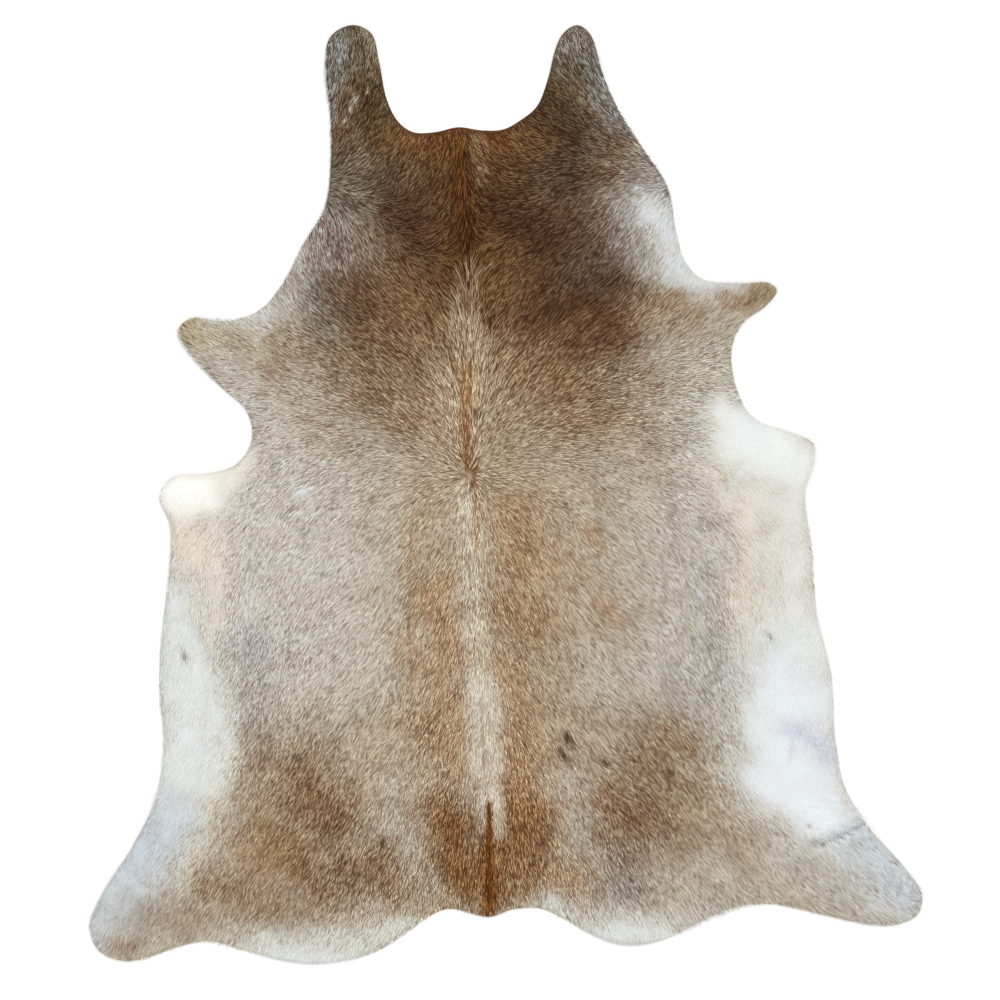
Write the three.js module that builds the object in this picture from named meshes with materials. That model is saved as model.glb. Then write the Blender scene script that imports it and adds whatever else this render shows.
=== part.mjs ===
// A cowhide rug lying flat, hair side up: one tanned skin in one piece, with the hair left on it.
// Millimetres. +Y points to the neck, +X to the flank on the right as seen from above, +Z is up.
// The origin is on the floor, under the middle of the hide.

import * as THREE from 'three';

// The sheet
const leather = 2.4; // thickness of the tanned skin
const coat = 2.4; // depth of the hair that lies on it
const rimCoat = 1.2; // depth of the hair at the cut edge
const backRise = 1.4; // how much higher the hair stands along the back

// The mesh
const rowsPerSection = 2; // rows of faces from one section to the next
const columnsPerHalf = 18; // columns of faces from the back to each edge
const bowFade = 5; // how fast the rows straighten, away from the neck edge and the tail edge
const outlineSteps = 12; // steps from one outline point to the next, when its box is measured

// Sections across the hide, from the neck to the hind legs, with both ends of each on the cut edge
const sections = [
  { at: 'neck flap tip', leftX: -345, leftY: 1050, rightX: 159, rightY: 1050 },
  { at: 'neck flap corner', leftX: -394, leftY: 1023, rightX: 188, rightY: 1030 },
  { at: 'neck flap side', leftX: -403, leftY: 958, rightX: 213, rightY: 949 },
  { at: 'neck flap root', leftX: -392, leftY: 842, rightX: 249, rightY: 864 },
  { at: 'neck', leftX: -392, leftY: 737, rightX: 302, rightY: 779 },
  { at: 'shoulder', leftX: -405, leftY: 643, rightX: 360, rightY: 690 },
  { at: 'shoulder slope', leftX: -452, leftY: 562, rightX: 378, rightY: 600 },
  { at: 'front leg bay, start', leftX: -502, leftY: 468, rightX: 399, rightY: 524 },
  { at: 'front leg bay', leftX: -555, leftY: 410, rightX: 441, rightY: 481 },
  { at: 'front leg, neck side', leftX: -636, leftY: 387, rightX: 524, rightY: 472 },
  { at: 'front leg tip, neck side', leftX: -703, leftY: 394, rightX: 589, rightY: 472 },
  { at: 'front leg tip', leftX: -732, leftY: 369, rightX: 605, rightY: 455 },
  { at: 'front leg tip, belly side', leftX: -710, leftY: 322, rightX: 582, rightY: 423 },
  { at: 'front leg, belly side', leftX: -636, leftY: 240, rightX: 528, rightY: 383 },
  { at: 'belly bay, start', leftX: -580, leftY: 186, rightX: 504, rightY: 322 },
  { at: 'belly bay', leftX: -569, leftY: 121, rightX: 517, rightY: 233 },
  { at: 'belly bay, end', leftX: -605, leftY: 67, rightX: 553, rightY: 172 },
  { at: 'belly flap, neck side', leftX: -674, leftY: 45, rightX: 629, rightY: 141 },
  { at: 'belly flap corner', leftX: -746, leftY: 38, rightX: 685, rightY: 116 },
  { at: 'belly flap tip', leftX: -772, leftY: -2, rightX: 690, rightY: 76 },
  { at: 'belly flap waist', leftX: -752, leftY: -60, rightX: 669, rightY: 4 },
  { at: 'belly', leftX: -750, leftY: -121, rightX: 683, rightY: -114 },
  { at: 'mid belly', leftX: -763, leftY: -264, rightX: 696, rightY: -271 },
  { at: 'flank', leftX: -776, leftY: -425, rightX: 728, rightY: -405 },
  { at: 'flank hollow', leftX: -766, leftY: -555, rightX: 736, rightY: -540 },
  { at: 'thigh', leftX: -779, leftY: -674, rightX: 757, rightY: -652 },
  { at: 'hind leg slope', leftX: -835, leftY: -786, rightX: 815, rightY: -750 },
  { at: 'hind leg', leftX: -900, leftY: -889, rightX: 886, rightY: -828 },
  { at: 'hind leg side', leftX: -931, leftY: -967, rightX: 929, rightY: -893 },
  { at: 'hind leg corner', leftX: -911, leftY: -1021, rightX: 920, rightY: -940 },
  { at: 'hind leg tip', leftX: -862, leftY: -1043, rightX: 866, rightY: -963 },
];

// The cut edge at the neck, between the tips of the two flaps
const neckLeft = [
  { x: -302, y: 1032 },
  { x: -284, y: 967 },
  { x: -268, y: 887 },
  { x: -242, y: 835 },
  { x: -208, y: 811 },
  { x: -159, y: 811 },
];
const neckMiddle = { x: -107, y: 822 };
const neckRight = [
  { x: -54, y: 815 },
  { x: -7, y: 817 },
  { x: 31, y: 837 },
  { x: 69, y: 869 },
  { x: 94, y: 931 },
  { x: 110, y: 994 },
  { x: 128, y: 1032 },
];

// The cut edge at the tail, between the tips of the hind legs: two deep scallops beside the tail root
const tailLeft = [
  { x: -813, y: -1039 },
  { x: -728, y: -1010 },
  { x: -663, y: -999 },
  { x: -596, y: -1017 },
  { x: -495, y: -1041 },
  { x: -416, y: -1048 },
  { x: -322, y: -1034 },
  { x: -264, y: -1008 },
  { x: -210, y: -971 },
  { x: -154, y: -934 },
  { x: -121, y: -927 },
];
const tailMiddle = { x: -38, y: -945 };
const tailRight = [
  { x: 16, y: -928 },
  { x: 76, y: -926 },
  { x: 132, y: -950 },
  { x: 188, y: -982 },
  { x: 251, y: -1004 },
  { x: 300, y: -1006 },
  { x: 367, y: -990 },
  { x: 434, y: -956 },
  { x: 502, y: -927 },
  { x: 587, y: -915 },
  { x: 703, y: -938 },
  { x: 793, y: -958 },
];

// The line of the back, from the neck edge to the tail edge
const back = [neckMiddle, { x: -85, y: 537 }, { x: -81, y: 40 }, { x: -49, y: -506 }, tailMiddle];

// Soft folds that lift the sheet off the floor: each is a low ridge along a straight line
const folds = [
  { at: 'left neck flap', fromX: -345, fromY: 1010, toX: -352, toY: 930, reach: 120, lift: 6 },
  { at: 'right neck flap', fromX: 162, fromY: 1010, toX: 178, toY: 925, reach: 110, lift: 5 },
  { at: 'left front leg', fromX: -720, fromY: 360, toX: -650, toY: 330, reach: 110, lift: 5 },
  { at: 'right front leg', fromX: 600, fromY: 455, toX: 530, toY: 430, reach: 110, lift: 6 },
  { at: 'left belly flap', fromX: -770, fromY: 5, toX: -690, toY: -10, reach: 120, lift: 5 },
  { at: 'right belly flap', fromX: 690, fromY: 90, toX: 610, toY: 60, reach: 120, lift: 6 },
  { at: 'left belly', fromX: -770, fromY: -300, toX: -690, toY: -285, reach: 130, lift: 4 },
  { at: 'right belly', fromX: 730, fromY: -330, toX: 640, toY: -300, reach: 130, lift: 4 },
  { at: 'left thigh', fromX: -790, fromY: -710, toX: -640, toY: -640, reach: 120, lift: 7 },
  { at: 'right thigh', fromX: 840, fromY: -735, toX: 690, toY: -790, reach: 100, lift: 7 },
  { at: 'left hind leg', fromX: -920, fromY: -900, toX: -780, toY: -860, reach: 100, lift: 5 },
  { at: 'right hind leg', fromX: 930, fromY: -900, toX: 800, toY: -900, reach: 90, lift: 5 },
  { at: 'left tail scallop', fromX: -470, fromY: -1040, toX: -410, toY: -985, reach: 130, lift: 4 },
  { at: 'right tail scallop', fromX: 290, fromY: -1010, toX: 265, toY: -950, reach: 120, lift: 4 },
];

const point = (x, y) => new THREE.Vector3(x, y, 0);
const pointsOf = (rows) => rows.map((row) => point(row.x, row.y));
const smoothCurve = (points, closed) => new THREE.CatmullRomCurve3(points, closed, 'centripetal');

// One closed smooth curve runs through every point of the cut edge, clockwise from the left neck flap
const leftEnds = sections.map((row) => point(row.leftX, row.leftY));
const rightEnds = sections.map((row) => point(row.rightX, row.rightY));
const [neckPoint, tailPoint] = pointsOf([neckMiddle, tailMiddle]);
const edgePoints = [
  leftEnds[0], ...pointsOf(neckLeft), neckPoint, ...pointsOf(neckRight),
  ...rightEnds, ...pointsOf(tailRight).reverse(), tailPoint, ...pointsOf(tailLeft).reverse(),
  ...leftEnds.slice(1).reverse(),
];
const outline = smoothCurve(edgePoints, true);
const backLine = smoothCurve(pointsOf(back), false);

// The middle of the outline's box, which the origin lies under
const outlineBox = new THREE.Box3().setFromPoints(outline.getPoints(edgePoints.length * outlineSteps));
const middle = outlineBox.getCenter(point(0, 0));

// The stretch of the outline from one of its points to another, as a function of 0 to 1
function stretch(start, end) {
  return (share) => outline.getPoint(THREE.MathUtils.lerp(start, end, share) / edgePoints.length);
}

// The five lines that the rows and columns of the mesh run between. The outline closes at the left
// neck flap, so the left side is counted back from its end.
const [neckAt, rightTopAt, rightEndAt, tailAt, leftEndAt] = [
  neckPoint, rightEnds[0], rightEnds.at(-1), tailPoint, leftEnds.at(-1),
].map((end) => edgePoints.indexOf(end));
const leftSide = stretch(edgePoints.length, leftEndAt);
const rightSide = stretch(rightTopAt, rightEndAt);
const alongBack = (share) => backLine.getPointAt(share);
const leftHalf = sheetBetween(leftSide, alongBack, stretch(0, neckAt), stretch(leftEndAt, tailAt));
const rightHalf = sheetBetween(
  alongBack, rightSide, stretch(neckAt, rightTopAt), stretch(tailAt, rightEndAt),
);

// The sheet between four curves: each row is a straight line from one side to the other, bowed like
// the neck edge near the neck and like the tail edge near the tail
function sheetBetween(nearSide, farSide, neckEdge, tailEdge) {
  const bow = (curve, across) => curve(across).sub(curve(0).lerp(curve(1), across));
  return (across, along) =>
    nearSide(along)
      .lerp(farSide(along), across)
      .addScaledVector(bow(neckEdge, across), (1 - along) ** bowFade)
      .addScaledVector(bow(tailEdge, across), along ** bowFade);
}

// How high the sheet is lifted at a place: it is flat on the floor, apart from the folds
function liftAt(place) {
  const nearest = point(0, 0);
  return folds.reduce((total, fold) => {
    const ridge = new THREE.Line3(point(fold.fromX, fold.fromY), point(fold.toX, fold.toY));
    const away = ridge.closestPointToPoint(place, true, nearest).distanceTo(place) / fold.reach;
    return away < 1 ? total + fold.lift * (1 - away * away) ** 2 : total;
  }, 0);
}

// The grid of the sheet, row by row from the neck to the tail, each row from left to right
const rowCount = rowsPerSection * (sections.length - 1);
const columnCount = 2 * columnsPerHalf;
const indexAt = (row, column) => row * (columnCount + 1) + column;

function placeAt(row, column) {
  const onLeft = column <= columnsPerHalf;
  const across = onLeft ? column / columnsPerHalf : column / columnsPerHalf - 1;
  const half = onLeft ? leftHalf : rightHalf;
  return half(across, row / rowCount).sub(middle);
}

// How deep the hair is: thin at the cut edge and heaped up along the back
function coatAt(row, column) {
  const onRim = row === 0 || row === rowCount || column === 0 || column === columnCount;
  if (onRim) return rimCoat;
  return column === columnsPerHalf ? coat + backRise : coat;
}

// The points of the cut edge in order, anticlockwise as seen from above
function rimLoop() {
  const loop = [];
  for (let row = 0; row < rowCount; row += 1) loop.push(indexAt(row, 0));
  for (let column = 0; column < columnCount; column += 1) loop.push(indexAt(rowCount, column));
  for (let row = rowCount; row > 0; row -= 1) loop.push(indexAt(row, columnCount));
  for (let column = columnCount; column > 0; column -= 1) loop.push(indexAt(0, column));
  return loop;
}

// The whole sheet: its underside lies at the lift, its hair side is a skin and a coat above that, and
// a narrow wall joins the two around the cut edge
function hideGeometry() {
  const upper = [];
  const under = [];
  for (let row = 0; row <= rowCount; row += 1) {
    for (let column = 0; column <= columnCount; column += 1) {
      const place = placeAt(row, column);
      const lift = liftAt(place);
      upper.push(place.x, place.y, lift + leather + coatAt(row, column));
      under.push(place.x, place.y, lift);
    }
  }

  const faces = [];
  const below = (rowCount + 1) * (columnCount + 1);
  for (let row = 0; row < rowCount; row += 1) {
    for (let column = 0; column < columnCount; column += 1) {
      const a = indexAt(row, column);
      const b = indexAt(row + 1, column);
      const c = indexAt(row + 1, column + 1);
      const d = indexAt(row, column + 1);
      faces.push(a, b, c, a, c, d);
      faces.push(below + a, below + c, below + b, below + a, below + d, below + c);
    }
  }
  const rim = rimLoop();
  rim.forEach((here, step) => {
    const next = rim[(step + 1) % rim.length];
    faces.push(below + here, below + next, next, below + here, next, here);
  });

  const geometry = new THREE.BufferGeometry();
  geometry.setAttribute('position', new THREE.Float32BufferAttribute([...upper, ...under], 3));
  geometry.setIndex(faces);
  geometry.computeVertexNormals();
  return geometry;
}

const cowhide = new THREE.MeshStandardMaterial({ color: 0xa08d78, roughness: 0.7, metalness: 0 });
const hide = new THREE.Mesh(hideGeometry(), cowhide);
hide.name = 'hide';

const rug = new THREE.Group();
rug.add(hide);
export default rug;
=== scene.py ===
import bpy
import numpy as np
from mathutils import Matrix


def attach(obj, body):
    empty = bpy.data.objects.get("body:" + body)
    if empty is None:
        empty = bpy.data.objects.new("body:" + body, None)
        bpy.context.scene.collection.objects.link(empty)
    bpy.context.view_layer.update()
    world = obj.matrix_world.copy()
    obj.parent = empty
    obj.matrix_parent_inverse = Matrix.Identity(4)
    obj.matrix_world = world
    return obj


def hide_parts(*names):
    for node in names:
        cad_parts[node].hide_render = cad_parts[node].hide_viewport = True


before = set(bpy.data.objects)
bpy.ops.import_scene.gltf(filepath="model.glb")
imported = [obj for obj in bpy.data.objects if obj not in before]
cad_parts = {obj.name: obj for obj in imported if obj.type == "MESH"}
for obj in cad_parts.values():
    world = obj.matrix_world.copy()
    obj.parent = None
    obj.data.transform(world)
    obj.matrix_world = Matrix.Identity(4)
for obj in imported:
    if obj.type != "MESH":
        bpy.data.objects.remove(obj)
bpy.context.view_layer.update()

mm = 0.001
loopPoints = 1200  # on the outline's loop
backSteps = 800  # on the line of the back
edgeSharpness = 2.2  # of patches, marks and other soft rows
brightest = 250  # of the coat's colours


# The cut edge: left and right ends of sections across the hide, from the neck flaps to the hind legs
sections = np.array([
    # leftX, leftY, rightX, rightY
    (-345, 1050, 159, 1050),  # neck flap tip
    (-394, 1023, 188, 1030),
    (-403, 958, 213, 949),
    (-392, 842, 249, 864),  # neck flap root
    (-392, 737, 302, 779),
    (-405, 643, 360, 690),  # shoulder
    (-452, 562, 378, 600),
    (-502, 468, 399, 524),
    (-555, 410, 441, 481),
    (-636, 387, 524, 472),
    (-703, 394, 589, 472),
    (-732, 369, 605, 455),  # front leg tip
    (-710, 322, 582, 423),
    (-636, 240, 528, 383),
    (-580, 186, 504, 322),
    (-569, 121, 517, 233),  # belly bay
    (-605, 67, 553, 172),
    (-674, 45, 629, 141),
    (-746, 38, 685, 116),
    (-772, -2, 690, 76),  # belly flap tip
    (-752, -60, 669, 4),
    (-750, -121, 683, -114),
    (-763, -264, 696, -271),  # mid belly
    (-776, -425, 728, -405),
    (-766, -555, 736, -540),
    (-779, -674, 757, -652),  # thigh
    (-835, -786, 815, -750),
    (-900, -889, 886, -828),
    (-931, -967, 929, -893),
    (-911, -1021, 920, -940),
    (-862, -1043, 866, -963),  # hind leg tip
], float)
neckLeft = [(-302, 1032), (-284, 967), (-268, 887), (-242, 835), (-208, 811), (-159, 811)]
neckMiddle = (-107, 822)
neckRight = [(-54, 815), (-7, 817), (31, 837), (69, 869), (94, 931), (110, 994), (128, 1032)]
tailLeft = [
    (-813, -1039), (-728, -1010), (-663, -999), (-596, -1017), (-495, -1041), (-416, -1048),
    (-322, -1034), (-264, -1008), (-210, -971), (-154, -934), (-121, -927),
]
tailMiddle = (-38, -945)
tailRight = [
    (16, -928), (76, -926), (132, -950), (188, -982), (251, -1004), (300, -1006),
    (367, -990), (434, -956), (502, -927), (587, -915), (703, -938), (793, -958),
]
backPoints = [neckMiddle, (-85, 537), (-81, 40), (-49, -506), tailMiddle]

# Folds and creases that lift the sheet: low ridges along straight lines
folds = np.array([
    # fromX, fromY, toX, toY, reach, lift
    (-345, 1010, -352, 930, 120, 6),  # left neck flap
    (162, 1010, 178, 925, 110, 5),  # right neck flap
    (-720, 360, -650, 330, 110, 5),  # left front leg
    (600, 455, 530, 430, 110, 6),  # right front leg
    (-770, 5, -690, -10, 120, 5),  # left belly flap
    (690, 90, 610, 60, 120, 6),  # right belly flap
    (-770, -300, -690, -285, 130, 4),  # left belly
    (730, -330, 640, -300, 130, 4),  # right belly
    (-790, -710, -640, -640, 120, 7),  # left thigh
    (840, -735, 690, -790, 100, 7),  # right thigh
    (-920, -900, -780, -860, 100, 5),  # left hind leg
    (930, -900, 800, -900, 90, 5),  # right hind leg
    (-470, -1040, -410, -985, 130, 4),  # left tail scallop
    (290, -1010, 265, -950, 120, 4),  # right tail scallop
    (685, -786, 806, -734, 26, 2.2),  # crease across the right hind leg
    (-853, -842, -741, -920, 20, 1.4),  # creases across the left hind leg
    (-820, -805, -700, -880, 16, 1.0),
], float)


def smoothCurve(points, closed):
    # A centripetal Catmull-Rom curve: it runs through every point, and each tangent weighs the
    # gaps beside it by their square roots
    here = np.array(points, float)
    if closed:
        before, after, beyond = (np.roll(here, turn, axis=0) for turn in (1, -1, -2))
    else:
        longer = np.vstack([2 * here[0] - here[1], here, 2 * here[-1] - here[-2]])
        before, here, after, beyond = longer[:-3], longer[1:-2], longer[2:-1], longer[3:]
    gap0, gap1, gap2 = (
        np.sqrt(np.linalg.norm(one - two, axis=1))[:, None]
        for one, two in ((before, here), (here, after), (after, beyond))
    )
    leaving = gap1 * ((here - before) / gap0 - (after - before) / (gap0 + gap1)) + (after - here)
    arriving = (after - here) + gap1 * ((beyond - after) / gap2 - (beyond - here) / (gap1 + gap2))

    def curveAt(place):
        place = np.asarray(place, float)
        index = np.floor(place).astype(int)
        if not closed:
            index = np.clip(index, 0, len(here) - 1)
        t = (place - index)[..., None]
        index = index % len(here)
        p, q, m, n = here[index], after[index], leaving[index], arriving[index]
        return p + m * t + (3 * (q - p) - 2 * m - n) * t**2 + (2 * (p - q) + m + n) * t**3

    return curveAt


edgePoints = [
    tuple(sections[0, :2]), *neckLeft, neckMiddle, *neckRight,
    *map(tuple, sections[:, 2:]), *tailRight[::-1], tailMiddle, *tailLeft[::-1],
    *map(tuple, sections[:0:-1, :2]),
]
outline = smoothCurve(edgePoints, True)
backCurve = smoothCurve(backPoints, False)
outlineLoop = outline(np.linspace(0, len(edgePoints), loopPoints, endpoint=False))
middle = (outlineLoop.min(axis=0) + outlineLoop.max(axis=0)) / 2
outlineLoop = outlineLoop - middle

neckAt = 1 + len(neckLeft)
rightTopAt = neckAt + 1 + len(neckRight)
rightEndAt = rightTopAt + len(sections) - 1
tailAt = rightEndAt + 1 + len(tailRight)
leftEndAt = tailAt + 1 + len(tailLeft)


def backAt(along):
    # The line of the back, with its length shared out evenly
    fine = np.linspace(0, len(backPoints) - 1, backSteps)
    steps = np.linalg.norm(np.diff(backCurve(fine), axis=0), axis=1)
    run = np.concatenate([[0], np.cumsum(steps)])
    return backCurve(np.interp(np.asarray(along) * run[-1], run, fine))


def stretch(start, end):
    return lambda share: outline(start + (end - start) * np.asarray(share, float))


def halfSheet(nearSide, farSide, neckEdge, tailEdge, across, along):
    # Straight lines from side to side, bowed like the neck edge at the neck and the tail edge at the tail
    def bow(curve):
        straight = curve(0.0) + (curve(1.0) - curve(0.0)) * across[..., None]
        return curve(across) - straight

    bowFade = 5
    flat = nearSide(along) + (farSide(along) - nearSide(along)) * across[..., None]
    flat = flat + bow(neckEdge) * ((1 - along) ** bowFade)[..., None]
    return flat + bow(tailEdge) * (along**bowFade)[..., None]


def planAt(side, along):
    # Side runs from -1 at the left edge to 1 at the right, with 0 on the back, and along from neck to tail
    left = halfSheet(
        stretch(len(edgePoints), leftEndAt), backAt, stretch(0, neckAt), stretch(leftEndAt, tailAt),
        np.clip(1 + side, 0, 1), along,
    )
    right = halfSheet(
        backAt, stretch(rightTopAt, rightEndAt), stretch(neckAt, rightTopAt), stretch(tailAt, rightEndAt),
        np.clip(side, 0, 1), along,
    )
    return np.where((side < 0)[..., None], left, right) - middle


def awayFrom(place, line):
    # Distance from each place to a straight line between two points
    start, end = np.reshape(np.array(line, float), (2, 2))
    run = end - start
    share = np.clip(((place - start) @ run) / max(run @ run, 1e-9), 0, 1)
    return np.linalg.norm(place - start - share[..., None] * run, axis=-1)


def liftAt(place):
    # Each ridge adds its lift times (1 - (distance / reach) squared) squared
    total = np.zeros(place.shape[:-1])
    for *line, reach, lift in folds:
        away = awayFrom(place, line) / reach
        total += lift * np.clip(1 - away**2, 0, 1) ** 2
    return total


def softNoise(place, size, seed):
    # Random heights on a square lattice, blended smoothly between its corners, from -1 to 1
    cells = 256
    table = np.random.default_rng(seed).uniform(-1, 1, (cells, cells))
    spot = place / size + 4 * cells
    low = np.floor(spot).astype(int)
    share = spot - low
    share = share * share * (3 - 2 * share)
    x, y = low[..., 0] % cells, low[..., 1] % cells
    right, up = (x + 1) % cells, (y + 1) % cells
    sx, sy = share[..., 0], share[..., 1]
    lower = table[x, y] * (1 - sx) + table[right, y] * sx
    upper = table[x, up] * (1 - sx) + table[right, up] * sx
    return lower * (1 - sy) + upper * sy


# The coat's colours in soft light, as red, green and blue from 0 to 255
coatColours = {
    "greige": (184, 172, 154),
    "oat": (191, 182, 169),
    "lilac": (199, 192, 186),
    "dusk": (166, 158, 151),
    "sand": (173, 148, 119),
    "tan": (170, 133, 99),
    "amber": (150, 114, 83),
    "russet": (146, 98, 58),
    "brick": (106, 70, 46),
    "saddle": (123, 80, 44),
    "brown": (127, 91, 61),
    "umber": (95, 64, 41),
    "soot": (72, 52, 38),
    "wine": (77, 49, 32),
    "walnut": (88, 57, 31),
    "chestnut": (70, 41, 18),
    "olive": (82, 61, 38),
    "golden": (158, 100, 54),
    "strand": (199, 178, 149),
    # painted shadow along a crease
    "crease": (160, 161, 163),
    "khaki": (183, 168, 135),
    "oliveTan": (158, 134, 98),
    "ivory": (213, 206, 191),
    "goldTan": (152, 120, 84),
    "smoke": (103, 87, 71),
    "rust": (102, 58, 24),
    "sage": (211, 213, 204),
    "belly": (217, 220, 217),
    "taupe": (152, 125, 99),
    "cocoa": (133, 102, 75),
    "ash": (126, 117, 107),
    "slate": (116, 103, 91),
    "mauve": (130, 111, 100),
    "cream": (208, 195, 173),
    "silver": (210, 212, 212),
    "peach": (225, 214, 200),
    "shell": (230, 228, 217),
    "milk": (221, 219, 212),
    "snow": (231, 234, 231),
    "white": (243, 244, 239),
    "frost": (225, 230, 233),
    "steel": (196, 201, 206),
    "blueGrey": (198, 202, 203),
    # painted shade for hollows in the white belly
    "hollowShade": (203, 205, 217),
}

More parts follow.
